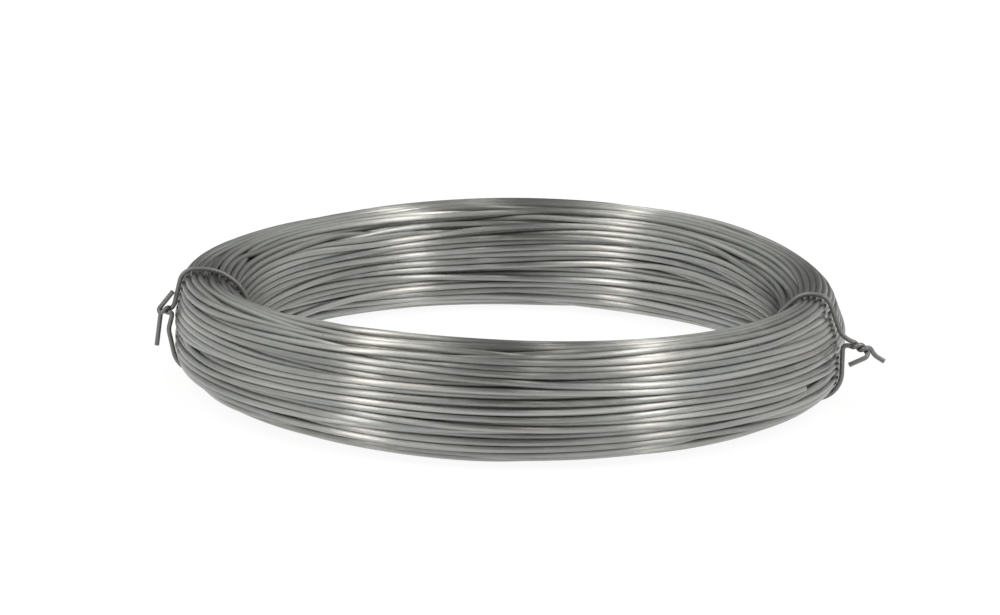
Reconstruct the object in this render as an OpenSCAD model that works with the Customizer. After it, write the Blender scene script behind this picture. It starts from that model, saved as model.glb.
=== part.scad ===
// Coil of galvanized steel wire, wound round and held by two twisted wire ties.
// The many turns of wire are one turned solid: its outline shows the turns that lie on the skin.
// Origin: on the coil's axis, in the plane that it lies on. +Z is up, and the ties sit near -X and +X.

/* [Wire] */
// Diameter of the coiled wire
wire_d = 2; // [1.2:0.1:3]

/* [Coil] */
// Diameter of the bore, as wound on its former
bore_d = 160; // [100:5:300]
// Thickness of the winding between the bore and the outside
winding_w = 28; // [24:1:60]
// Height of the winding as it lies
winding_h = 35.5; // [28:0.5:70]
// Radius of the winding's rounded edges
edge_r = 11; // [6:0.5:12]
// How far the crown of each turn is flattened where it bears on the former or the floor
crown_flat = 0.1; // [0.05:0.05:0.2]
// Depth of the groove between two turns, measured from their crowns
groove_depth = 0.5; // [0.3:0.05:0.6]

/* [Ties] */
// Diameter of the tie wire
tie_d = 1.5; // [0.8:0.1:1.6]
// Clearance between a tie and the turns that it draws in
tie_gap = 0.05; // [0.03:0.01:0.2]
// Radius of a tie's bends round the winding's edges, at the middle of its wire
tie_bend_r = 5; // [4:0.5:6]
// How far the ties draw in the turns on top and underneath
draw_in_ends = 0.2; // [0.1:0.1:1]
// How much of the bore's upper edge each tie pulls flat
bore_bevel = 8.5; // [6:0.5:10]
// How far the left tie draws the turns out of the bore
left_draw_in_bore = 4; // [0.5:0.5:5]
// How far the left tie draws in the turns at its knot
left_draw_in_knot = 0.2; // [0.1:0.1:2]
// How much further the left tie draws in the top of the outer side
left_lean = 1.5; // [0.5:0.5:7]
// Space between the winding and the slack wire that bulges out under the left knot
left_bulge = 1.3; // [1.3:0.1:3]
// How far the right tie draws the turns out of the bore
right_draw_in_bore = 3; // [0.5:0.5:5]
// How far the right tie draws in the turns at its knot
right_draw_in_knot = 1.4; // [0.1:0.1:2]
// How much further the right tie draws in the top of the outer side
right_lean = 5.5; // [0.5:0.5:7]
// Direction of the left tie round the axis, from +X
left_tie_angle = 184; // [170:1:190]
// Direction of the right tie round the axis, from +X
right_tie_angle = -15; // [-25:1:0]
// Lay of the twists: the distance in which their strands turn once round each other, in tie wires
twist_lay = 3.34; // [3.3:0.01:5]
// Number of turns in the left tie's twist
left_twist_turns = 0.5; // [0.5:0.5:2.5]
// Number of turns in the right tie's twist
right_twist_turns = 1.25; // [1.25:1:3.25]
// Length of the left tie's end that points up
left_up_len = 7.8; // [4:0.2:8]
// Length of the left tie's end that hangs down
left_down_len = 11; // [4:0.5:12]
// Length of the right tie's long end past its twist
right_long_len = 3; // [2:0.5:8]
// Space between the winding and the tip of the right tie's other end, which is folded back towards it
right_folded_gap = 0.5; // [0.4:0.1:4]

/* [Hidden] */
$fn = 96;

mid_r = (bore_d + winding_w) / 2;
half_w = winding_w / 2;
half_h = winding_h / 2;
wire_r = wire_d / 2;
tie_r = tie_d / 2;

// Skin turns: their centres lie on a rounded rectangle inside the winding's outline.
turn_inset = wire_r - crown_flat;
core_inset = crown_flat + groove_depth;

// A tie's wire runs in a channel, which stands for the turns that it draws in. It is wider than the wire,
// because a strand leans sideways where it comes out of a twist.
channel_side_gap = 0.4;
channel_w = tie_d + 2 * channel_side_gap;
// From the middle of a tie's wire to the floor of its channel
floor_inset = tie_r + tie_gap;
// How far the channel's cutter reaches past the winding
cutter_margin = 1;
// Heights of the knots and of the bulge above the middle of the winding
left_knot_y = 3.3;
right_knot_y = 2.7;
bulge_y = -3;
// The corners of each tie's way. On the left the knot is on the side between the bulge and the first corner,
// and on the right it is a corner, where the taut wire meets the outer side.
left_corners = concat(
    tie_corners(left_draw_in_bore, left_draw_in_knot, left_lean),
    [[half_w + left_bulge + tie_r, bulge_y]]
);
left_knot = at_height(last_of(left_corners), left_corners[0], left_knot_y);
right_knot = [tie_outer(right_draw_in_knot), right_knot_y];
right_corners = concat(tie_corners(right_draw_in_bore, right_draw_in_knot, right_lean), [right_knot]);
// Distance from each knot to the start of its twist
left_twist_start = 0.67 * tie_d;
right_twist_start = 3.2;
twist_pitch = twist_lay * tie_d;
right_twist_dir = unit([1, -0.3, 0]);
right_folded_dir = unit([-0.87, -0.45, 0.15]);
right_folded_start = right_knot.x + tie_r
    + right_twist_dir.x * (right_twist_start + twist_pitch * (right_twist_turns - 0.25));
right_folded_len = (half_w + tie_r + right_folded_gap - right_folded_start) / right_folded_dir.x;
// Distance between the centre lines of a twist's two strands
strand_gap = tie_d + 0.06;
// How far from the knot a tie's wire has come back to its way
lead_reach = 3.5;

tie_sides = 8;
helix_steps = 12;
corner_steps = 8;
bend_steps = 6;

// ---- Rounded rectangles, given by their half sizes and corner radius ----

module rounded(w, h, r) {
    square([2 * (w - r), 2 * h], center = true);
    square([2 * w, 2 * (h - r)], center = true);
    for (x = [-1, 1], y = [-1, 1])
        translate([x * (w - r), y * (h - r)]) circle(r);
}

// The winding's outline, drawn in by an inset.
module winding_outline(inset) {
    rounded(half_w - inset, half_h - inset, edge_r - inset);
}

// One quarter of that outline, from the middle of its outer side to the middle of its top: its length,
// and the point at the distance s along it.
function quarter_len(inset) = half_h + half_w - 2 * edge_r + (edge_r - inset) * PI / 2;

function quarter_point(inset, s) =
    let (r = edge_r - inset, x = half_w - edge_r, y = half_h - edge_r)
    let (arc = r * PI / 2, a = (s - y) / arc * 90)
    s < y ? [x + r, s]
    : s < y + arc ? [x + r * cos(a), y + r * sin(a)]
    : [x - (s - y - arc), y + r];

// ---- Coil ----

turns_per_quarter = floor(quarter_len(turn_inset) / wire_d);
turn_pitch = quarter_len(turn_inset) / turns_per_quarter;

module skin_turns() {
    for (k = [0 : turns_per_quarter - 1], x = [-1, 1], y = [-1, 1]) {
        p = quarter_point(turn_inset, (k + 0.5) * turn_pitch);
        translate([x * p.x, y * p.y]) circle(wire_r);
    }
}

module winding_section() {
    intersection() {
        winding_outline(0);
        union() {
            winding_outline(core_inset);
            skin_turns();
        }
    }
}

// Puts a shape drawn about the middle of the winding's section in its place at one angle round the axis.
module at_section(angle) {
    rotate([0, 0, angle]) translate([mid_r, 0, winding_h / 2]) rotate([90, 0, 0]) children();
}

// The way of a tie's wire round the winding, before its bends are rounded: over the top, down the bore,
// underneath and back to the outer side.
function tie_corners(draw_in_bore, draw_in_knot, lean) =
    let (
        top = half_h - draw_in_ends - tie_r,
        outer = tie_outer(draw_in_knot),
        bore = draw_in_bore + tie_r - half_w
    )
    [[outer - lean, top], [bore + bore_bevel, top], [bore, top - bore_bevel], [bore, -top], [outer, -top]];

// How far out a tie's wire runs on the outer side.
function tie_outer(draw_in_knot) = half_w - draw_in_knot - tie_r;

function unit(v) = v / norm(v);
function last_of(list) = list[len(list) - 1];
function at_height(a, b, y) = a + (b - a) * (y - a.y) / (b.y - a.y);

// The middle of the bend at corner i of a closed way.
function bend_centre(corners, i) =
    let (n = len(corners), p = corners[i])
    let (a = unit(corners[(i + n - 1) % n] - p), b = unit(corners[(i + 1) % n] - p))
    p + unit(a + b) * tie_bend_r / sin(acos(a * b) / 2);

// The outward normal of the side from corner i to the next one.
function side_normal(corners, i) =
    let (d = unit(corners[(i + 1) % len(corners)] - corners[i])) [d.y, -d.x];

// The area inside a tie's way, drawn in by an inset.
module inside_tie(corners, inset) {
    r = tie_bend_r - inset;
    ids = [0 : len(corners) - 1];
    centres = [for (i = ids) bend_centre(corners, i)];
    polygon([for (i = ids) each [centres[i] + r * side_normal(corners, i),
        centres[(i + 1) % len(corners)] + r * side_normal(corners, i)]]);
    for (c = centres) translate(c) circle(r);
}

module tie_channel(angle, corners) {
    at_section(angle)
        linear_extrude(channel_w, center = true)
            difference() {
                square([winding_w + 2 * cutter_margin, winding_h + 2 * cutter_margin], center = true);
                inside_tie(corners, floor_inset);
            }
}

module wire_coil() {
    color([0.66, 0.67, 0.66])
        difference() {
            rotate_extrude() translate([mid_r, winding_h / 2]) winding_section();
            tie_channel(left_tie_angle, left_corners);
            tie_channel(right_tie_angle, right_corners);
        }
}

// ---- Ties: one wire each, swept along a computed centre line ----
// Points are [out, up, side] from the middle of the winding's section.

function reversed(list) = [for (i = [len(list) - 1 : -1 : 0]) list[i]];
function level(p) = [p.x, p.y, 0];

// A bend from a to c that leaves a towards b and reaches c coming from b.
function bend(a, b, c) =
    [for (i = [1 : bend_steps]) let (t = i / bend_steps) (1 - t) ^ 2 * a + 2 * t * (1 - t) * b + t ^ 2 * c];

// Round the winding: the first bends of a closed way, as many as bends says.
function loop_points(corners, bends) =
    [for (i = [0 : bends - 1], k = [0 : corner_steps])
        let (
            from = side_normal(corners, (i + len(corners) - 1) % len(corners)),
            to = side_normal(corners, i),
            start = atan2(from.y, from.x),
            a = start + k / corner_steps * acos(from * to)
        )
        level(bend_centre(corners, i) + tie_bend_r * [cos(a), sin(a)])];

// One strand of the twist: it winds round the line from start along dir, and its angle is phase at the start.
function strand_points(start, dir, turns, phase) =
    let (n = ceil(turns * helix_steps), up = unit([-dir.y, dir.x, 0]), side = [0, 0, 1])
    [for (i = [0 : n])
        let (s = turns * i / n, a = phase + 360 * s)
        start + dir * twist_pitch * s + strand_gap / 2 * (sin(a) * up + cos(a) * side)];

// From the start of a strand in towards the winding, and round onto the side that leads to the next corner.
function lead_points(strand, dir, room, knot, beyond) =
    let (
        from = strand[0],
        back = unit(dir + unit(strand[1] - from)),
        corner = from - back * tie_r - dir * (room - tie_r),
        b = bend(from, corner, level(knot + lead_reach * unit(beyond - knot)))
    )
    [for (i = [0 : bend_steps - 1]) b[i]];

// A free end: it turns out of the twist into its own direction by two bends, and runs straight.
function end_points(strand, dir, length) =
    let (
        from = last_of(strand),
        ahead = unit(from - strand[len(strand) - 2]),
        a = from + ahead * tie_r,
        b = a + unit(ahead + dir) * tie_d
    )
    concat(bend(from, a, (a + b) / 2), bend((a + b) / 2, b, b + dir * tie_r), [b + dir * length]);

// The whole wire: first end, twist, round the winding, twist, second end. The twist starts at a distance from
// the knot. The strand from above makes all its turns, and the one from below a quarter turn less.
function tie_line(knot, corners, bends, dir, distance, turns, phase, end_a, end_b) =
    let (
        start = level(knot) + dir * distance,
        room = max(distance, 0.8 * tie_d),
        a = strand_points(start, dir, turns, phase),
        b = strand_points(start, dir, turns - 0.25, phase + 180)
    )
    concat(
        reversed(end_points(a, unit(end_a[0]), end_a[1])),
        reversed(a),
        lead_points(a, dir, room, knot, corners[0]),
        loop_points(corners, bends),
        reversed(lead_points(b, dir, room, knot, corners[bends - 1])),
        b,
        end_points(b, unit(end_b[0]), end_b[1])
    );

// A round wire of tie_sides sides along a line. Each ring's frame is carried on from the one before it.
module swept_wire(line) {
    last = len(line) - 1;
    tangents = [for (i = [0 : last]) unit(line[min(i + 1, last)] - line[max(i - 1, 0)])];
    normals = [
        for (i = 0, n = unit(cross(tangents[0], [0.3, 0.2, 1]));
            i <= last;
            i = i + 1, n = i > last ? n : unit(n - (n * tangents[i]) * tangents[i]))
        n
    ];
    points = [
        for (i = [0 : last], k = [0 : tie_sides - 1])
        let (a = 360 * k / tie_sides)
        line[i] + tie_r * (cos(a) * normals[i] + sin(a) * cross(tangents[i], normals[i]))
    ];
    sides = [
        for (i = [0 : last - 1], k = [0 : tie_sides - 1])
        let (a = i * tie_sides, b = a + tie_sides, m = (k + 1) % tie_sides)
        each [[a + k, b + k, a + m], [a + m, b + k, b + m]]
    ];
    polyhedron(
        points,
        concat(
            sides,
            [[for (k = [0 : tie_sides - 1]) k]],
            [[for (k = [tie_sides - 1 : -1 : 0]) last * tie_sides + k]]
        )
    );
}

module left_tie() {
    color([0.42, 0.43, 0.43])
        at_section(left_tie_angle)
            swept_wire(tie_line(
                knot = left_knot,
                corners = left_corners,
                bends = len(left_corners),
                dir = [1, 0, 0],
                distance = left_twist_start,
                turns = left_twist_turns,
                phase = 45,
                end_a = [[-0.58, 0.79, -0.2], left_up_len],
                end_b = [[0.12, -0.99, 0], left_down_len]
            ));
}

module right_tie() {
    color([0.36, 0.35, 0.35])
        at_section(right_tie_angle)
            swept_wire(tie_line(
                knot = right_knot,
                corners = right_corners,
                bends = len(right_corners) - 1,
                dir = right_twist_dir,
                distance = right_twist_start,
                turns = right_twist_turns,
                phase = 90,
                end_a = [[1, -0.52, 0], right_long_len],
                end_b = [right_folded_dir, right_folded_len]
            ));
}

wire_coil();
left_tie();
right_tie();
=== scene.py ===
# %% [markdown]
# # A coil of galvanized steel wire
#
# The real thing is about a hundred metres of soft steel wire, two millimetres thick and dipped in zinc.
# It was wound on a drum, slid off, and tied in two places with a darker wire so that it can't spring
# open.
#
# A coil could be drawn as one ring with a striped bump map. It looks right only from far away, because
# what makes it a coil is geometry: some turns lie tight together, some sink between their neighbours,
# and all of them squeeze together under the ties. So this lesson winds the whole wire, turn by turn, as
# one long line. Every size is in millimetres until a mesh is made.

# %% The frame
import math

import bpy
import numpy as np
from mathutils import Matrix, Vector


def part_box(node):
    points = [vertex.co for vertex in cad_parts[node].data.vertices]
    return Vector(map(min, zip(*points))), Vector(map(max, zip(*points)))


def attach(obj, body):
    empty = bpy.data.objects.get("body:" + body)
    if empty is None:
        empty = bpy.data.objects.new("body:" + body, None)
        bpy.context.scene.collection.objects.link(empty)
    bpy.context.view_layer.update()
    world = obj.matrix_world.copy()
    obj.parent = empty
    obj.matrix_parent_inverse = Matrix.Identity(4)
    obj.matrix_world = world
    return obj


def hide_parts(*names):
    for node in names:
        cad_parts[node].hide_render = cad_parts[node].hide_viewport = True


MM = 0.001
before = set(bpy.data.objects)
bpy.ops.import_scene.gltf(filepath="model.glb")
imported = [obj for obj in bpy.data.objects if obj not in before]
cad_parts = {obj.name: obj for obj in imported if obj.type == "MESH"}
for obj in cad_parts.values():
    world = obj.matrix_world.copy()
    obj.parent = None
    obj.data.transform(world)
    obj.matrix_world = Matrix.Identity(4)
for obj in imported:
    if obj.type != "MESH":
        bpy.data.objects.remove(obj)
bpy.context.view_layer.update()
coil_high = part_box("wire_coil")[1]

# %% [markdown]
# ## Camera
#
# A long lens from a good metre away keeps the ring's ellipse calm, as for a sales sheet. The camera
# looks down on the coil by a small angle and is rolled by about one degree. A small shift frames the
# coil a little off the middle without turning the camera, so the perspective stays the same.

# %% Camera
FOCAL_LENGTH = 143.07
SENSOR = 36.0
CAMERA_ELEVATION = math.radians(14.66)
CAMERA_DISTANCE = 1.2658
CAMERA_ROLL = math.radians(1.08)
SHIFT_X, SHIFT_Y = -0.01535, 0.0131
NEAREST, FARTHEST = 0.05, 50

camera_data = bpy.data.cameras.new("camera")
camera_data.sensor_width = SENSOR
camera_data.lens = FOCAL_LENGTH
camera_data.shift_x, camera_data.shift_y = SHIFT_X, SHIFT_Y
camera_data.clip_start, camera_data.clip_end = NEAREST, FARTHEST
camera = bpy.data.objects.new("camera", camera_data)
bpy.context.collection.objects.link(camera)
bpy.context.scene.camera = camera

aim = Vector((0, 0, coil_high.z / 2))
towards_camera = Vector((0, -math.cos(CAMERA_ELEVATION), math.sin(CAMERA_ELEVATION)))
camera.location = aim + towards_camera * CAMERA_DISTANCE
level_view = (-towards_camera).to_track_quat("-Z", "Y").to_matrix()
camera.rotation_euler = (level_view @ Matrix.Rotation(CAMERA_ROLL, 3, "Z")).to_euler()
print("camera at", [round(v, 3) for v in camera.location])

# %% [markdown]
# ## Sizes
#
# The CAD solid gives the outside of the ring and its height. The rest are the sizes that it was built
# from: the wire, the tie wire, and the width and the rounded edges of the winding.
#
# A place in the winding is given in its cross-section: u points away from the axis and v points up, both
# from the middle of the section.

# %% Sizes
WIRE_D = 2.0
TIE_D = 1.5
WINDING_W = 28.0
EDGE_R = 11.0
TURNS = 169
STATIONS = 144  # points on each turn

outer_r = coil_high.x / MM
winding_h = coil_high.z / MM
half_w, half_h = WINDING_W / 2, winding_h / 2
middle_r = outer_r - half_w
wire_r, tie_r = WIRE_D / 2, TIE_D / 2
wire_length = TURNS * 2 * math.pi * middle_r * MM
print(f"{TURNS} turns, about {wire_length:.0f} m of wire")

# %% [markdown]
# ## The way of each tie
#
# A tie is a short piece of wire that goes over the top of the winding, down through the bore, under it
# and back up the outside, where its two ends are twisted together. Pulled tight, it is a polygon with
# rounded corners. The same polygon is needed twice: the tie's own wire runs along it, and the turns of
# the coil have to fit inside it. The left tie's knot stands out from the winding, the right one's has
# sunk into it.

# %% The ties' polygons
BORE_BEVEL = 8.5
DRAW_IN_ENDS = 0.2
LEFT_ANGLE, RIGHT_ANGLE = 184.0, -15.0


def unit(v):
    return v / np.linalg.norm(v)


def tie_corners(draw_in_bore, draw_in_knot, lean):
    """Corners of a tie's way: over the top, down the bore, underneath and back to the outer side."""
    top = half_h - DRAW_IN_ENDS - tie_r
    outer = half_w - draw_in_knot - tie_r
    bore = draw_in_bore + tie_r - half_w
    bevel = [(bore + BORE_BEVEL, top), (bore, top - BORE_BEVEL)]
    return [(outer - lean, top), *bevel, (bore, -top), (outer, -top)]


def bend_centre(corners, bends, i):
    """The middle of the rounded bend at corner i."""
    before, here, after = corners[i - 1], corners[i], corners[(i + 1) % len(corners)]
    a, b = unit(before - here), unit(after - here)
    half_angle = math.acos(np.clip(a @ b, -1, 1)) / 2
    return here + unit(a + b) * bends[i] / math.sin(half_angle)


LEFT_STAND_OUT, RIGHT_SINK = 1.3, 1.4
left_knot_corner = (half_w + LEFT_STAND_OUT + tie_r, -3)
right_knot_corner = (half_w - RIGHT_SINK - tie_r, 2.7)
left_corners = np.array(tie_corners(draw_in_bore=4, draw_in_knot=0.2, lean=1.5) + [left_knot_corner])
right_corners = np.array(tie_corners(draw_in_bore=3, draw_in_knot=RIGHT_SINK, lean=5.5) + [right_knot_corner])
left_bends, right_bends = (5, 16, 12, 5, 8, 5), (5, 8, 8, 5, 9, 5)
print("left tie's corners:", left_corners.round(1).tolist())

# %% [markdown]
# ## Room for the turns
#
# A convex room is fully described by how far it reaches in each direction, which is called its support
# function. That makes it easy to blend one room into another: at a tie the room is the inside of the
# tie's polygon, far from it the room is the full rounded section, and between them the reaches are
# mixed.

# %% The room at each angle
EVEN_STEP = 7.5
FAR_SHARE, NEAR_SHARE = 0.9, 0.1
NEAR_WIDTH = 14
LEFT_WIDTHS, RIGHT_WIDTHS = (62, 60), (75, 90)  # degrees ahead of the tie and behind it
edges = np.vstack([np.roll(corners, -1, axis=0) - corners for corners in (left_corners, right_corners)])
square_to_edges = np.degrees(np.arctan2(-edges[:, 0], edges[:, 1])) % 360
bearing = np.radians(np.unique(np.append(np.arange(0, 360, EVEN_STEP), square_to_edges.round(3))))
facing = np.stack([np.cos(bearing), np.sin(bearing)], 1)
print("directions:", len(facing))


def reach_of_rounded_box(w, h, r):
    return (w - r) * np.abs(facing[:, 0]) + (h - r) * np.abs(facing[:, 1]) + r


def reach_inside_tie(corners, bends):
    centres = np.array([bend_centre(corners, bends, i) for i in range(len(corners))])
    outermost = (corners @ facing.T).argmax(0)
    return (centres[outermost] * facing).sum(1) + np.array(bends)[outermost] - tie_r


def bell(angles, at, ahead, behind):
    """1 at an angle, falling softly to 0 at so many degrees ahead of it and behind it."""
    off = (angles - at + 180) % 360 - 180
    return np.clip(1 - (off / np.where(off > 0, ahead, behind)) ** 2, 0, 1) ** 2


def drawn_in(angles, at, ahead, behind):
    """How much of a tie's pull is felt. Most of it fades far along the ring, the rest close to the tie."""
    return FAR_SHARE * bell(angles, at, ahead, behind) + NEAR_SHARE * bell(angles, at, NEAR_WIDTH, NEAR_WIDTH)


free_reach = reach_of_rounded_box(half_w, half_h, EDGE_R)
left_reach = np.minimum(reach_inside_tie(left_corners, left_bends), free_reach)
right_reach = np.minimum(reach_inside_tie(right_corners, right_bends), free_reach)

# Places where the pull has left the winding flatter: angle, width along the ring, direction and depth.
HOLLOWS = ((17, 38, (1, 0.8), 2.6), (137, 50, (0.35, 1), 1.8), (222, 50, (0.35, -1), 1.0))


def room(angles):
    """Reach of the room in every direction, one row for each angle."""
    left = drawn_in(angles, LEFT_ANGLE, *LEFT_WIDTHS)[:, None]
    right = drawn_in(angles, RIGHT_ANGLE, *RIGHT_WIDTHS)[:, None]
    reach = free_reach * (1 - left) * (1 - right) + left_reach * left * (1 - right) + right_reach * right
    for at, width, direction, depth in HOLLOWS:
        side = np.clip(facing @ unit(np.array(direction)), 0, 1) ** 3
        reach = reach - depth * bell(angles, at, width, width)[:, None] * side
    return reach


def area_of(reach):
    """Area of a convex room, from how far its outline is at each degree."""
    round_about = np.radians(np.arange(360))
    heading = np.stack([np.cos(round_about), np.sin(round_about)], 1)
    outline = (reach / np.maximum(heading @ facing.T, 1e-6)).min(1)
    return (outline**2).mean() * math.pi


print(f"free section {area_of(free_reach):.0f}, under the right tie {area_of(right_reach):.0f} mm2")

# %% [markdown]
# ## Where each turn belongs
#
# Every turn gets a home in the section. A real drum is filled in layers from the bore outwards. Here the
# homes lie on rings that follow the outline, listed from the innermost ring to the skin, so that each
# home lies beside the next one. That is a simplification: on a real coil the top shows the edges of many
# layers.

# %% Homes
RING_TURNS = (9, 16, 24, 31, 40, 49)
RING_STEP = 2.3
LEAST_BEND = 0.3


def ring_homes(inset, count):
    """Evenly spaced points on the outline drawn in by inset, from the lower end of the outer side upwards."""
    r = max(EDGE_R - inset, LEAST_BEND)
    w, h = half_w - inset - r, half_h - inset - r
    quarter = np.radians(np.arange(0, 91, 5))
    outline = [(w + r, -h)]
    for corner, (x, y) in enumerate(((w, h), (-w, h), (-w, -h), (w, -h))):
        a = quarter + corner * math.pi / 2
        outline += zip(x + r * np.cos(a), y + r * np.sin(a))
    outline = np.array(outline)
    along = np.concatenate([[0], np.cumsum(np.hypot(*np.diff(outline, axis=0).T))])
    s = (np.arange(count) + 0.5) * along[-1] / count
    return np.stack([np.interp(s, along, outline[:, 0]), np.interp(s, along, outline[:, 1])], 1)


rings = len(RING_TURNS)
homes = np.vstack([ring_homes(wire_r + (rings - 1 - k) * RING_STEP, n) for k, n in enumerate(RING_TURNS)])
print("homes:", len(homes))

# %% [markdown]
# ## Wander
#
# Hand and machine never lay a turn perfectly. Three kinds of error are added to the homes: each turn
# drifts slowly on its own, whole bundles drift together, and now and then a turn leaves the skin, runs
# one layer deeper for a while and comes back, which opens the dark wedges between the bright wires.

# %% The wire's wished-for line
START_ANGLE = 330.3
DRIFTS = ((130, 1.0), (53, 0.8), (23, 0.3))  # steps from one value to the next, and size
WAVES = 16
WAVE_SIZE = 0.3
WAVE_TILT = 0.3  # typical radians for each millimetre across the section
MOST_ROUND = 5  # most periods of a wave on one turn
rng = np.random.default_rng(3)
count = TURNS * STATIONS
step = np.arange(count)
turn, station = step // STATIONS, step % STATIONS
angles = START_ANGLE + np.arange(STATIONS) * 360 / STATIONS
theta = np.radians(angles)[station]


def drift(period, size):
    """A smooth random path with one new value every period steps."""
    knots = rng.normal(size=(int(count / period) + 4, 2)) * size
    x = step / period
    k, f = x.astype(int), (x % 1)[:, None]
    f = f * f * (3 - 2 * f)
    return knots[k] * (1 - f) + knots[k + 1] * f


share = (station / STATIONS)[:, None]
wished = homes[turn] * (1 - share) + homes[np.minimum(turn + 1, TURNS - 1)] * share
wander = sum(drift(period, size) for period, size in DRIFTS)
for _ in range(WAVES):
    across, around = rng.normal(size=2) * WAVE_TILT, rng.integers(1, MOST_ROUND + 1)
    shift, size = rng.uniform(0, 2 * math.pi, 2), rng.normal(size=2) * WAVE_SIZE
    wander += size * np.sin((wished @ across + around * theta)[:, None] + shift)

DIVES = 60
DIVE_LENGTH, DIVE_RAMP = (20, 90), (6, 12)  # shortest and longest, in steps
DIVE_DEPTH = (0.8, 2.8)
sunk = np.zeros(count)
first_on_skin = (TURNS - RING_TURNS[-1]) * STATIONS
for _ in range(DIVES):
    middle = rng.integers(first_on_skin, count)
    length, ramp, depth = (rng.uniform(*span) for span in (DIVE_LENGTH, DIVE_RAMP, DIVE_DEPTH))
    near = np.clip(1 - (np.abs(step - middle) - length / 2) / ramp, 0, 1)
    sunk = np.maximum(sunk, depth * near * near * (3 - 2 * near))
inwards = -wished / np.hypot(*wished.T)[:, None]
wished = wished + wander + sunk[:, None] * inwards
print("dives:", DIVES, " largest wander, mm:", round(float(np.abs(wander).max()), 1))

# %% [markdown]
# ## Letting the turns settle
#
# At each angle the section is a heap of discs. They are pushed apart where they overlap, pushed back
# where they leave the room, and the whole line is kept springy by damping its short waves, which is what
# the stiffness of a steel wire does. A few hundred rounds of this give the same result each time.
#
# Round discs fill 0.91 of a room at best, and about four fifths when heaped without order. Under the
# right tie they would have to fill 0.93, so there the turns press into each other by up to 0.42 mm. Worse
# are four spots on the skin where two turns change places. Nothing here makes one climb over the other,
# so they pass through each other by more than a millimetre.
#
# The wire's inner end is held where it is, so that it stays hidden in the heap.

# %% Settle
ROUNDS = 400
PAIRS_KEPT = 8  # rounds before the near pairs are listed again
LATE = 0.8
PUSHES, LATE_PUSHES = 2, 4
BEND_LENGTH = 9.0
FULLEST = 0.82
NEAR = 3.2
PUSH = 0.4
HOME_PULL, HELD_PULL = 0.03, 0.5
HELD_STEPS = 30
HOME_FADE, STIFFNESS_FADE = 1.4, 0.7
limit = room(angles)[station] - wire_r
free_limit = free_reach - wire_r
fullness = TURNS * math.pi * wire_r**2 / np.array([area_of(reach) for reach in room(angles)])
spacing = (WIRE_D * np.sqrt(np.minimum(1, FULLEST / fullness)))[station]
print("fullest section:", round(float(fullness.max()), 2), " least spacing:", round(float(spacing.min()), 2))


def fit_into_room(p):
    """Scales each point towards the middle as its room is smaller than the free section."""
    heading = p / (np.hypot(*p.T) + 1e-9)[:, None]
    towards = np.maximum(heading @ facing.T, 1e-3)
    return p * ((limit / towards).min(1) / (free_limit / towards).min(1))[:, None]


def contain(p):
    for _ in range(2):
        over = p @ facing.T - limit
        worst = over.argmax(1)
        p = p - np.maximum(over[step, worst], 0)[:, None] * facing[worst]
    return p


def close_pairs(p, within):
    """Pairs of turns that are near each other at the same station."""
    grid = p.reshape(TURNS, STATIONS, 2).astype(np.float32)
    one, two = np.triu_indices(TURNS, 1)
    found = []
    for first in range(0, STATIONS, 24):
        part = grid[:, first : first + 24]
        gap = part[one] - part[two]
        pair, at = np.nonzero((gap**2).sum(-1) < within**2)
        found.append((one[pair] * STATIONS + at + first, two[pair] * STATIONS + at + first))
    return np.hstack(found)


def push_apart(p, pairs):
    a, b = pairs
    gap = p[a] - p[b]
    distance = np.hypot(*gap.T)
    touching = distance < spacing[a]
    a, b, gap = a[touching], b[touching], gap[touching]
    distance = np.maximum(distance[touching], 1e-6)
    move = gap * (PUSH * (spacing[a] - distance) / distance)[:, None]
    return p + np.stack([np.bincount(a, m, count) - np.bincount(b, m, count) for m in move.T], 1)


waves = np.fft.rfftfreq(count)


def stiffen(p, strength):
    """Damps waves that are shorter than the wire's bending length."""
    straight = p[:1] + (p[-1:] - p[:1]) * (step / (count - 1))[:, None]
    spectrum = np.fft.rfft(p - straight, axis=0) / (1 + strength * (waves * BEND_LENGTH) ** 4)[:, None]
    return np.fft.irfft(spectrum, count, axis=0) + straight


wished = fit_into_room(wished)
line = wished.copy()
held = HELD_PULL * np.exp(-step / HELD_STEPS)
for k in range(ROUNDS):
    late = k / ROUNDS
    if k % PAIRS_KEPT == 0:
        pairs = close_pairs(line, NEAR)
    for _ in range(LATE_PUSHES if late > LATE else PUSHES):
        line = contain(push_apart(line, pairs))
    line += (HOME_PULL * max(0, 1 - HOME_FADE * late) + held)[:, None] * (wished - line)
    line = stiffen(line, 1 - STIFFNESS_FADE * late)

a, b = close_pairs(line, NEAR)
pressed = WIRE_D - np.hypot(*(line[a] - line[b]).T)
print("deepest press, mm:", round(float(pressed.max()), 2))
print("places pressed by over 0.2 mm:", int((pressed > 0.2).sum()))

# %% [markdown]
# ## From a line to a wire
#
# A curve object with a round bevel would give the shape, but the finish also needs to know where on the
# wire it is. So the tube is built straight from arrays. Each ring of points also keeps its place on the
# straight wire, before it was wound: two numbers across and one along. The material is painted in that
# space, so its streaks follow the wire. The flat caps get points of their own, so that they don't bend
# the smooth shading of the round side.

# %% Tube mesh
ROW_MARGIN, ROW_FILL = 0.02, 0.96
CAP_SIZE = 0.3


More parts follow.
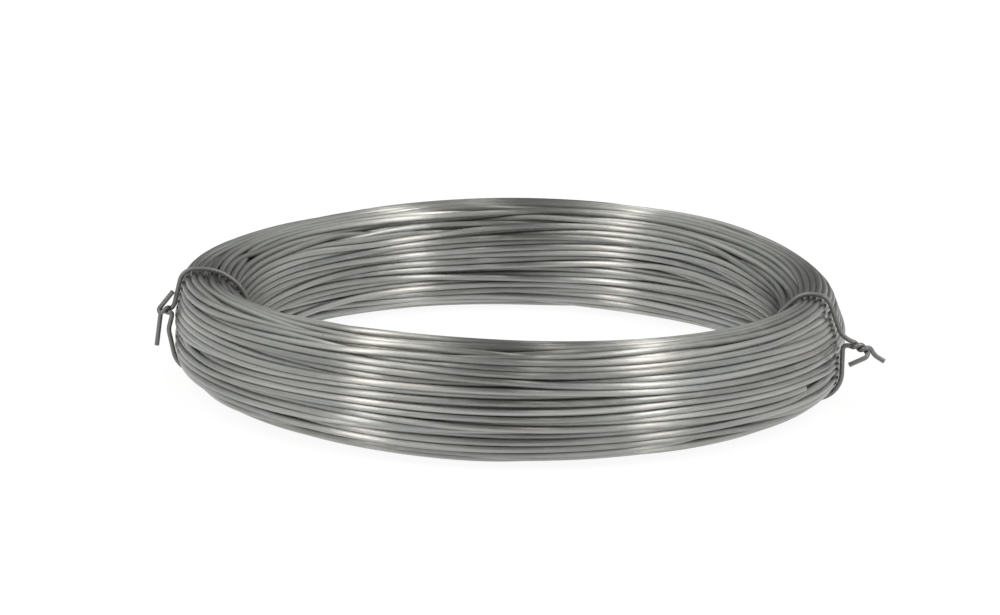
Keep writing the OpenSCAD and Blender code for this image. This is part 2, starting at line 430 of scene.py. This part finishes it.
def tube(name, centres, radius, sides, run_start, bake_rows, row_length, facing_start=(0.3, 0.2, 1.0)):
    """A closed round wire along the centres, all in metres. Its UV map lays it out in rows."""
    n = len(centres)
    facing_start = np.array(facing_start)
    ahead = np.gradient(centres, axis=0)
    ahead /= np.linalg.norm(ahead, axis=1)[:, None]
    normal = np.empty_like(ahead)
    normal[0] = unit(facing_start - (facing_start @ ahead[0]) * ahead[0])
    for i in range(1, n):
        normal[i] = unit(normal[i - 1] - (normal[i - 1] @ ahead[i]) * ahead[i])
    side = np.cross(ahead, normal)
    around = np.arange(sides) * 2 * math.pi / sides
    c, s = np.cos(around)[None, :, None], np.sin(around)[None, :, None]
    points = centres[:, None] + radius * (c * normal[:, None] + s * side[:, None])

    i, k = np.meshgrid(np.arange(n - 1), np.arange(sides), indexing="ij")
    k_next = (k + 1) % sides
    quads = np.stack([i * sides + k, i * sides + k_next, (i + 1) * sides + k_next, (i + 1) * sides + k], -1)
    quads = quads.reshape(-1, 4)
    caps = n * sides + np.array([np.arange(sides)[::-1], sides + np.arange(sides)])

    mesh = bpy.data.meshes.new(name)
    mesh.vertices.add((n + 2) * sides)
    mesh.vertices.foreach_set("co", np.concatenate([points, points[[0, -1]]]).ravel())
    corners = np.concatenate([quads.ravel(), caps.ravel()])
    mesh.loops.add(len(corners))
    mesh.loops.foreach_set("vertex_index", corners)
    mesh.polygons.add(len(quads) + 2)
    starts = np.concatenate([np.arange(len(quads)) * 4, len(quads) * 4 + np.array([0, sides])])
    mesh.polygons.foreach_set("loop_start", starts)
    smooth = np.ones(len(quads) + 2, bool)
    smooth[-2:] = False
    mesh.polygons.foreach_set("use_smooth", smooth)

    row, column = i // row_length, i % row_length
    left, right = column / row_length, (column + 1) / row_length
    low = (row + ROW_MARGIN + ROW_FILL * k / sides) / (bake_rows + 1)
    high = (row + ROW_MARGIN + ROW_FILL * (k + 1) / sides) / (bake_rows + 1)
    uv = np.stack([left, low, left, high, right, high, right, low], -1).reshape(-1, 2)
    disc = np.stack([np.cos(around), np.sin(around)], 1) * CAP_SIZE / (bake_rows + 1)
    cap_rows = (bake_rows + 0.5) / (bake_rows + 1)
    cap_uv = np.vstack([disc + (0.25, cap_rows), disc + (0.75, cap_rows)])
    layer = mesh.uv_layers.new(name="OFBake")
    layer.data.foreach_set("uv", np.vstack([uv, cap_uv]).ravel())

    run = run_start + np.concatenate([[0], np.cumsum(np.linalg.norm(np.diff(centres, axis=0), axis=1))])
    straight = np.stack(np.broadcast_arrays(radius * c[..., 0], radius * s[..., 0], run[:, None]), -1)
    straight = np.concatenate([straight, straight[[0, -1]]])
    place = mesh.attributes.new("straight_wire", "FLOAT_VECTOR", "POINT")
    place.data.foreach_set("vector", straight.astype(np.float32).ravel())
    mesh.update()
    mesh.validate()
    piece = bpy.data.objects.new(name, mesh)
    bpy.context.collection.objects.link(piece)
    return piece, run[-1], normal[-1]


# %% [markdown]
# ## The wound wire
#
# The settled line is bent round the axis and swept. One piece would be half a million triangles, so the
# wire is kept as five lengths that meet ring on ring. The turns inside the heap are only seen through
# gaps and get fewer sides than those on the skin.

# %% Wound wire
PIECE_TURNS = 34
INNER_SIDES, SKIN_SIDES = 8, 12
ALL_INSIDE = 80  # the turns up to this one lie inside the heap

sweep = np.radians(START_ANGLE) + step * 2 * math.pi / STATIONS
radius_here = middle_r + line[:, 0]
wound = np.stack([radius_here * np.cos(sweep), radius_here * np.sin(sweep), half_h + line[:, 1]], 1) * MM

wire_pieces = []
run, side_up = 0.0, (0.3, 0.2, 1.0)
for first in range(0, TURNS, PIECE_TURNS):
    last = min(first + PIECE_TURNS, TURNS)
    centres = wound[first * STATIONS : last * STATIONS + 1]
    sides = SKIN_SIDES if last > ALL_INSIDE else INNER_SIDES
    name = f"wire_turns_{first + 1}_to_{last}"
    piece, run, side_up = tube(name, centres, wire_r * MM, sides, run, PIECE_TURNS, STATIONS, side_up)
    wire_pieces.append(piece)
    print(name, len(piece.data.polygons), "faces, wire so far", round(run, 1), "m")

# %% [markdown]
# ## The ties
#
# Each tie is one more wire, thinner and darker. It starts at a free end, makes its twist, leaves the
# twist towards the winding, goes round it, and comes back to make the other strand. Both strands are the
# same helix, half a turn apart. A third number, the side, is added to u and v here, because a twist
# leaves the section's plane.

# %% A tie's line
TWIST_PITCH = 3.34 * TIE_D
STRAND_GAP = TIE_D + 0.06
LEAD_REACH = 3.5
LEAST_LEAD = 0.8 * TIE_D
BEND_STEPS, ARC_STEPS, HELIX_STEPS = 12, 17, 28


def level(p):
    return np.array([p[0], p[1], 0.0])


def bend(a, b, c):
    """A bend from a to c, with a itself left out."""
    t = np.arange(1, BEND_STEPS + 1)[:, None] / BEND_STEPS
    return (1 - t) ** 2 * a + 2 * t * (1 - t) * b + t**2 * c


def loop_line(corners, bends, rounded):
    """Round the winding, over the first so many corners."""
    points = []
    for i in range(rounded):
        d_before, d_after = corners[i] - corners[i - 1], corners[(i + 1) % len(corners)] - corners[i]
        start = math.atan2(-d_before[0], d_before[1])
        swing = math.acos(np.clip(unit(d_before) @ unit(d_after), -1, 1))
        a = start + np.linspace(0, 1, ARC_STEPS) * swing
        arc = np.stack([np.cos(a), np.sin(a)], 1) * bends[i] + bend_centre(corners, bends, i)
        points += [level(p) for p in arc]
    return np.array(points)


def strand_line(start, direction, turns, phase):
    """One strand of a twist, from the winding outwards."""
    n = math.ceil(turns * HELIX_STEPS)
    s = turns * np.arange(n + 1)[:, None] / n
    a = math.radians(phase) + 2 * math.pi * s
    up = unit(np.array([-direction[1], direction[0], 0]))
    side = np.array([0, 0, 1.0])
    return start + direction * TWIST_PITCH * s + STRAND_GAP / 2 * (np.sin(a) * up + np.cos(a) * side)


def lead_line(strand, direction, room_left, knot, beyond):
    """From a strand's inner end to the side of the winding."""
    start = strand[0]
    back = unit(direction + unit(strand[1] - start))
    corner = start - back * tie_r - direction * (room_left - tie_r)
    return bend(start, corner, level(knot + LEAD_REACH * unit(beyond - knot)))[:-1]


def end_line(strand, direction, length):
    """From a strand's outer end round to the cut end."""
    start = strand[-1]
    ahead = unit(start - strand[-2])
    a = start + ahead * tie_r
    b = a + unit(ahead + direction) * TIE_D
    ends = [bend(start, a, (a + b) / 2), bend((a + b) / 2, b, b + direction * tie_r)]
    return np.vstack(ends + [[b + direction * length]])


def tie_line(knot, corners, bends, rounded, direction, distance, turns, phase, end_a, end_b):
    """A whole tie. Its second strand is a quarter of a turn shorter, so that the two ends part."""
    start = level(knot) + direction * distance
    room_left = max(distance, LEAST_LEAD)
    a = strand_line(start, direction, turns, phase)
    b = strand_line(start, direction, turns - 0.25, phase + 180)
    parts = [
        end_line(a, unit(np.array(end_a[0])), end_a[1])[::-1],
        a[::-1],
        lead_line(a, direction, room_left, knot, corners[0]),
        loop_line(corners, bends, rounded),
        lead_line(b, direction, room_left, knot, corners[rounded - 1])[::-1],
        b,
        end_line(b, unit(np.array(end_b[0])), end_b[1]),
    ]
    return np.vstack(parts)


# %% [markdown]
# The numbers below are the knots themselves: where they sit on the outer side, how long the twist is,
# and where the four cut ends point. The left knot is small, with one end up and one hanging down. The
# right one sticks out as a stubby tail, with its second end folded back towards the coil.

# %% Both ties
LEFT_KNOT_HEIGHT = 3.3
RIGHT_TWIST_OUT = 3.2
LINE_STEP = 0.35
TIE_SIDES, TIE_BAKE_ROWS = 16, 8

left_a, left_b = left_corners[-1], left_corners[0]
left_knot = left_a + (left_b - left_a) * (LEFT_KNOT_HEIGHT - left_a[1]) / (left_b[1] - left_a[1])
right_knot = right_corners[-1]
right_way = unit(np.array([1, -0.3, 0]))
folded_way = unit(np.array([-0.87, -0.45, 0.15]))
folded_from = right_knot[0] + tie_r + right_way[0] * (RIGHT_TWIST_OUT + TWIST_PITCH)
folded_length = (half_w + tie_r + 0.5 - folded_from) / folded_way[0]

left_line = tie_line(
    left_knot, left_corners, left_bends, len(left_corners),
    direction=np.array([1.0, 0, 0]), distance=0.67 * TIE_D, turns=0.5, phase=45,
    end_a=((-0.58, 0.79, -0.2), 7.8), end_b=((0.12, -0.99, 0), 11),
)
right_line = tie_line(
    right_knot, right_corners, right_bends, len(right_corners) - 1,
    direction=right_way, distance=RIGHT_TWIST_OUT, turns=1.25, phase=90,
    end_a=((1, -0.52, 0), 3), end_b=(folded_way, folded_length),
)


def even_line(points, spacing):
    """The same line with evenly spaced points, so that the tube's rings are regular."""
    points = points[np.concatenate([[True], np.linalg.norm(np.diff(points, axis=0), axis=1) > 1e-6])]
    along = np.concatenate([[0], np.cumsum(np.linalg.norm(np.diff(points, axis=0), axis=1))])
    s = np.linspace(0, along[-1], int(along[-1] / spacing) + 1)
    return np.stack([np.interp(s, along, x) for x in points.T], 1)


def at_angle(points, angle):
    """From u, v and side in the section at an angle to the row frame, in metres."""
    a = math.radians(angle)
    out, onwards = np.array([math.cos(a), math.sin(a), 0]), np.array([math.sin(a), -math.cos(a), 0])
    u, v, side = points.T
    return ((middle_r + u)[:, None] * out + side[:, None] * onwards + (half_h + v)[:, None] * (0, 0, 1)) * MM


ties = []
tie_lines = {"left_tie_wire": (left_line, LEFT_ANGLE), "right_tie_wire": (right_line, RIGHT_ANGLE)}
for name, (points, angle) in tie_lines.items():
    centres = at_angle(even_line(points, LINE_STEP), angle)
    row_length = math.ceil(len(centres) / TIE_BAKE_ROWS)
    piece, length, _ = tube(name, centres, tie_r * MM, TIE_SIDES, 0.0, TIE_BAKE_ROWS, row_length)
    ties.append(piece)
    print(name, round(length * 1000), "mm of wire,", len(piece.data.polygons), "faces")

# %% [markdown]
# ## Shader maths in Python
#
# Node trees are easier to read as formulas. The small class below wraps one output socket, so that a sum
# or a product of two of them adds the Math node by itself. Colours and vectors go through Mix and Vector
# Math, because a Math node would turn a colour grey. Every node is made by one method.

# %% Sockets as numbers


class Graph:
    """A node tree, empty at first."""

    def __init__(self, owner):
        owner.use_nodes = True
        self.tree = owner.node_tree
        self.tree.nodes.clear()

    def node(self, kind, settings=None, inputs=None, out=0):
        """Adds any node: first its settings, then the value or the link of each socket."""
        node = self.tree.nodes.new(kind)
        for name, value in (settings or {}).items():
            setattr(node, name, value)
        for key, value in (inputs or {}).items():
            if isinstance(value, Socket):
                self.tree.links.new(value.output, node.inputs[key])
            else:
                node.inputs[key].default_value = value
        return Socket(self, node.outputs[out]) if node.outputs else None

    def mix(self, factor, a, b):
        """A colour between a and b."""
        a, b = (c if isinstance(c, Socket) else (*c, 1) for c in (a, b))
        return self.node("ShaderNodeMix", {"data_type": "RGBA"}, {"Factor": factor, 6: a, 7: b}, 2)


class Socket:
    """A node's output. Arithmetic on it adds Math nodes."""

    def __init__(self, graph, output):
        self.graph, self.output = graph, output

    def math(self, operation, a, b=0.0):
        return self.graph.node("ShaderNodeMath", {"operation": operation}, {0: a, 1: b})

    def __add__(self, other):
        return self.math("ADD", self, other)

    __radd__ = __add__

    def __mul__(self, other):
        return self.math("MULTIPLY", self, other)

    __rmul__ = __mul__

    def __sub__(self, other):
        return self.math("SUBTRACT", self, other)

    def __rsub__(self, other):
        return self.math("SUBTRACT", other, self)

    def __abs__(self):
        return self.math("ABSOLUTE", self)

    def above(self, low, high):
        """0 up to low, 1 from high on, and a soft step between them."""
        limits = {"Value": self, "From Min": low, "From Max": high}
        return self.graph.node("ShaderNodeMapRange", {"interpolation_type": "SMOOTHSTEP"}, limits)


# %% [markdown]
# ## Noise along the wire
#
# Everything that happened to the wire happened while it was straight: it was pulled through a die,
# dipped and wiped. So the noise is looked up at the place on the straight wire, with one scale across it
# and another, much lower, along it. That draws every feature out along the wire without any unwrapping.

# %% Noise along the wire


def wire_noise(graph, across, along, detail=3.0):
    """Noise between 0 and 1 with so many features a metre across and along the wire."""
    place = graph.node("ShaderNodeAttribute", {"attribute_name": "straight_wire"}, out="Vector")
    scales = (across, across, along)
    spot = graph.node("ShaderNodeVectorMath", {"operation": "MULTIPLY"}, {0: place, 1: scales})
    inputs = {"Vector": spot, "Scale": 1.0, "Detail": detail, "Roughness": 0.55}
    return graph.node("ShaderNodeTexNoise", {}, inputs)


def bumpy(graph, height, strength, depth):
    return graph.node("ShaderNodeBump", {}, {"Height": height, "Strength": strength, "Distance": depth})


def finished(name, graph, **values):
    """Closes a material with one Principled shader."""
    inputs = {key.replace("_", " "): value for key, value in values.items()}
    shader = graph.node("ShaderNodeBsdfPrincipled", {}, inputs)
    graph.node("ShaderNodeOutputMaterial", {}, {"Surface": shader})
    print(name, "has", len(graph.tree.nodes), "nodes")


# %% [markdown]
# ## Galvanized finish
#
# Zinc on drawn wire is a soft grey metal with a satin gloss. Stretches of it came out of the bath
# lighter or darker. It has fine streaks from the wiping die, matt patches where it has started to
# oxidise, and here and there a small dark nick from the drum. The die also polished it lengthwise. Such
# metal spreads a reflection across the wire and keeps it sharp along it, which is what the shader's
# anisotropy does, turned by a quarter. It gives the bright bands that stand across all the turns. It has
# to be a constant, so only the roughness carries the noise.

# %% Galvanized wire
zinc = bpy.data.materials.new("galvanized_wire")
graph = Graph(zinc)
lengths = wire_noise(graph, 40, 7, 2).above(0.32, 0.68)
tint = wire_noise(graph, 30, 12, 2).above(0.35, 0.65)
streaks = wire_noise(graph, 1500, 25).above(0.35, 0.65)
patches = wire_noise(graph, 500, 160, 4).above(0.45, 0.75)
nicks = wire_noise(graph, 900, 420, 2).above(0.76, 0.8)
dark = graph.mix(tint, (0.265, 0.278, 0.269), (0.285, 0.278, 0.261))
light = graph.mix(tint, (0.545, 0.557, 0.539), (0.565, 0.555, 0.531))
tone = graph.mix(lengths, dark, light)
tone = graph.mix(streaks * 0.35, tone, (0.212, 0.216, 0.212))
tone = graph.mix(patches * 0.35, tone, (0.585, 0.592, 0.585))
tone = graph.mix(nicks * 0.8, tone, (0.05, 0.05, 0.05))
finished(
    "zinc", graph, Base_Color=tone, Metallic=1.0, Anisotropic=1.0, Anisotropic_Rotation=0.25,
    Roughness=0.325 + 0.06 * patches + 0.03 * streaks + 0.04 * lengths,
    Normal=bumpy(graph, wire_noise(graph, 900, 110), 0.5, 0.00012),
)

# %% [markdown]
# ## Tie wire finish
#
# The ties are annealed iron wire: a thin dark scale from the furnace, worn to bare metal in small spots.
# It is rougher than zinc and has a slight brown cast.

# %% Tie wire
scale = bpy.data.materials.new("tie_wire")
graph = Graph(scale)
flakes = wire_noise(graph, 1800, 700, 4)
worn = flakes.above(0.55, 0.8)
tone = graph.mix(wire_noise(graph, 60, 30), (0.135, 0.128, 0.121), (0.28, 0.28, 0.28))
tone = graph.mix(worn * 0.5, tone, (0.4, 0.385, 0.37))
finished(
    "scale", graph, Base_Color=tone, Metallic=0.85, Roughness=0.5 - 0.15 * worn,
    Normal=bumpy(graph, flakes, 0.5, 0.0001),
)

# %% Riding and replacing
for piece in wire_pieces:
    piece.data.materials.append(zinc)
    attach(piece, "root")
    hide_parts("wire_coil")
for piece, node in zip(ties, ("left_tie", "right_tie")):
    piece.data.materials.append(scale)
    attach(piece, "root")
    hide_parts(node)

# %% [markdown]
# ## Floor
#
# The floor is a wide sheet of white paper with a faint grain. Lit by the same lamps as the coil it would
# come out pale grey, and pushing the lamps would spoil the metal. So a part of it glows, but only for
# rays that look at it or mirror it, found by the Light Path node. The metal mirrors the same white that
# the camera sees. Matt surfaces get no light from the glow, so the paper keeps its shadow.

# %% Floor
FLOOR_SIZE = 40.0
PAPER_GLOW, GLOW_STRENGTH = 0.85, 1.06
floor_mesh = bpy.data.meshes.new("floor")
edge = FLOOR_SIZE / 2
floor_corners = [(-edge, -edge, 0), (edge, -edge, 0), (edge, edge, 0), (-edge, edge, 0)]
floor_mesh.from_pydata(floor_corners, [], [(0, 1, 2, 3)])
floor = bpy.data.objects.new("floor", floor_mesh)
bpy.context.collection.objects.link(floor)

paper = bpy.data.materials.new("white_paper")
graph = Graph(paper)
spot = graph.node("ShaderNodeTexCoord", out="Object")
grain = graph.node("ShaderNodeTexNoise", {}, {"Vector": spot, "Scale": 900.0, "Detail": 3.0})
sheet = {
    "Base Color": graph.mix(grain, (0.87, 0.87, 0.87), (0.91, 0.91, 0.905)),
    "Roughness": 0.65 + 0.1 * grain,
    "Normal": bumpy(graph, grain, 0.3, 0.00005),
}
matt = graph.node("ShaderNodeBsdfPrincipled", {}, sheet)
glow = graph.node("ShaderNodeEmission", {}, {"Strength": GLOW_STRENGTH})
kinds = ("Is Camera Ray", "Is Glossy Ray", "Is Transmission Ray")
camera_ray, glossy_ray, transmission_ray = (graph.node("ShaderNodeLightPath", out=kind) for kind in kinds)
seen = camera_ray.math("MAXIMUM", camera_ray, glossy_ray)
looked_at = seen.math("MAXIMUM", seen, transmission_ray)
surface = graph.node("ShaderNodeMixShader", {}, {0: looked_at * PAPER_GLOW, 1: matt, 2: glow})
graph.node("ShaderNodeOutputMaterial", {}, {"Surface": surface})
floor_mesh.materials.append(paper)

# %% [markdown]
# ## World
#
# Shiny metal shows what stands around it. The world is a plain room: light walls to the left and right,
# a darker side where the camera stands and opposite it, and twice as much light from above as from
# below, which draws a bright ridge along each turn.

# %% World
SIDE_LIGHT, MIDDLE_LIGHT = 0.76, 0.22
LOW_SHARE, HIGH_SHARE = 0.8, 1.6
world = bpy.data.worlds.new("studio")
bpy.context.scene.world = world
graph = Graph(world)
direction = graph.node("ShaderNodeTexCoord", out="Generated")
sideways, upwards = (graph.node("ShaderNodeSeparateXYZ", {}, {0: direction}, axis) for axis in "XZ")
wall_light = MIDDLE_LIGHT + (SIDE_LIGHT - MIDDLE_LIGHT) * abs(sideways).above(0.05, 0.55)
height_share = LOW_SHARE + (HIGH_SHARE - LOW_SHARE) * upwards.above(0.15, 0.8)
walls = {"Color": (0.985, 1, 0.97, 1), "Strength": wall_light * height_share}
background = graph.node("ShaderNodeBackground", {}, walls)
graph.node("ShaderNodeOutputWorld", {}, {"Surface": background})

# %% [markdown]
# ## Soft boxes
#
# Two long narrow lamps stand in front, left and right of the camera. Each one lights the turns at two
# places on the ring, near and far. A turn's surface faces a little up or down, and then it mirrors a
# point that lies further to the side. So the boxes lean: their upper ends go round to the sides, and the
# bands on the wire stand nearly upright. A short box high on the right is meant for the far turns, which
# it reaches over the near ones. Two strips under the ceiling are meant for the upper turns.

# %% Soft boxes


def soft_box(name, low_end, high_end, width, radiance, colour):
    """A long lamp between two points in metres, facing the coil and unseen itself."""
    low_end, high_end = Vector(low_end), Vector(high_end)
    middle, along = (low_end + high_end) / 2, high_end - low_end
    lamp = bpy.data.lights.new(name, "AREA")
    lamp.shape = "RECTANGLE"
    lamp.size, lamp.size_y, lamp.color = width, along.length, colour
    lamp.energy = radiance * math.pi * width * along.length
    away = (middle - aim).normalized()
    up = (along - along.dot(away) * away).normalized()
    box = bpy.data.objects.new(name, lamp)
    bpy.context.collection.objects.link(box)
    box.matrix_world = Matrix.Translation(middle) @ Matrix((up.cross(away), up, away)).transposed().to_4x4()
    box.visible_camera = False


WARM_WHITE = (1, 0.95, 0.915)
soft_box("left_box", (-1.05, -1.04, 0.05), (-1.01, -0.24, 2.1), 0.3, 3.7, WARM_WHITE)
soft_box("right_box", (0.99, -1.1, 0.05), (1.02, -0.14, 2.1), 0.28, 3.3, WARM_WHITE)
soft_box("right_high_box", (1.3, -0.5, 1.0), (1.1, -0.32, 1.8), 0.2, 4.2, WARM_WHITE)
soft_box("left_ceiling_strip", (-0.62, -0.5, 1.75), (-0.56, -0.1, 1.75), 0.14, 6.2, WARM_WHITE)
soft_box("right_ceiling_strip", (0.22, -0.65, 1.75), (0.22, -0.25, 1.75), 0.14, 8.3, WARM_WHITE)

# %% View transform
bpy.context.scene.view_settings.view_transform = "Standard"
